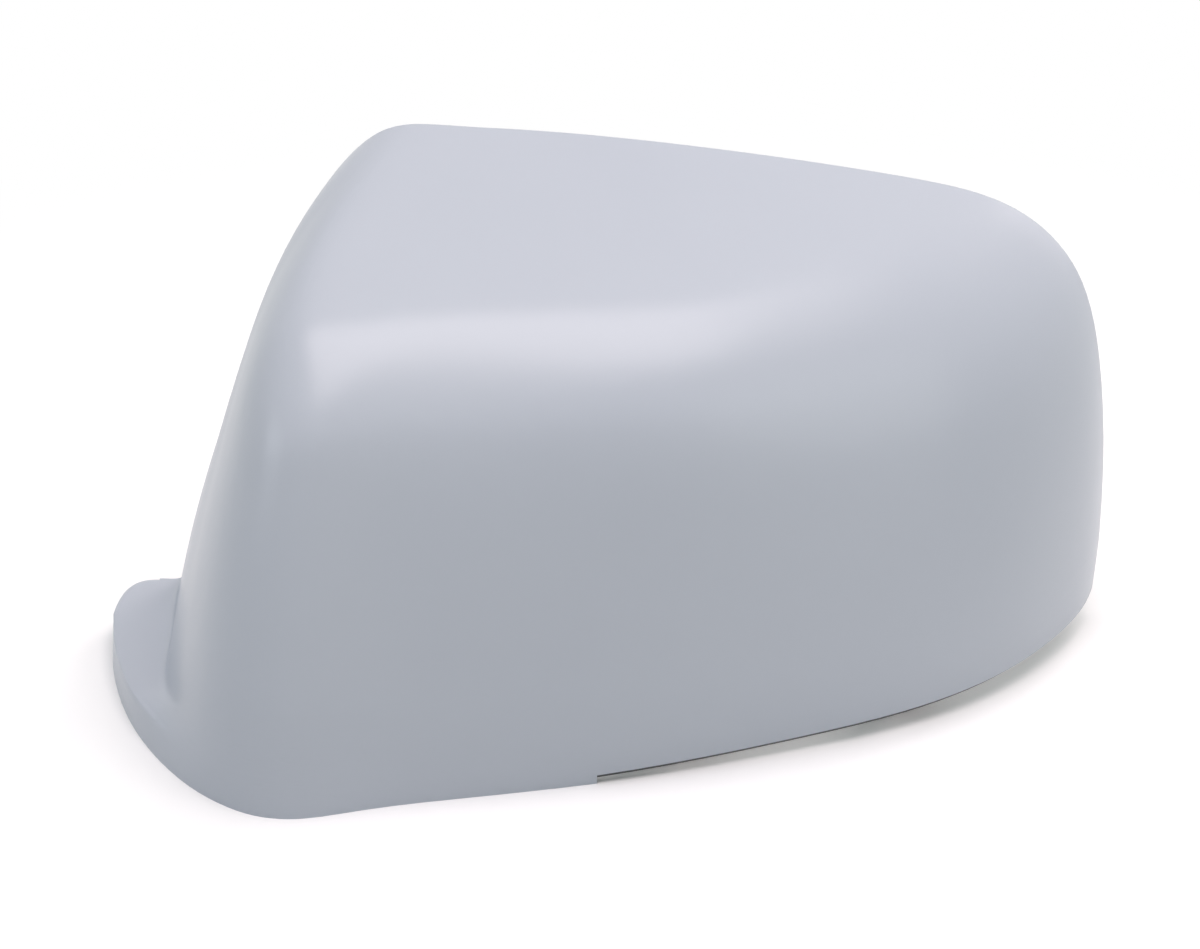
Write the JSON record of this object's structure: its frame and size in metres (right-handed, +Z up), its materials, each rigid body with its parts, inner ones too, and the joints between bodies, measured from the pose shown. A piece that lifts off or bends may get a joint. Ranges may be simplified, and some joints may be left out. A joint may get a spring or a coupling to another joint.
{
  "type": "wing mirror cover",
  "caption": "Moulded left wing-mirror cover: a thin compound-curved shell, open behind and below, with a low foot and snap hooks, locating pins and ribs inside.",
  "frame": {"origin": "centre of the bounding box's bottom face, on the floor that the cover stands on", "axes": "+X outboard along the cover's width, +Y to the open rear where the mirror housing goes, +Z up"},
  "size_m": [0.2545, 0.0989, 0.1386],
  "materials": {
    "primed_shell": "light blue-grey satin primer on injection-moulded plastic"
  },
  "bodies": {
    "root": {"mirror_cover": "primed_shell"}
  },
  "joints": []
}
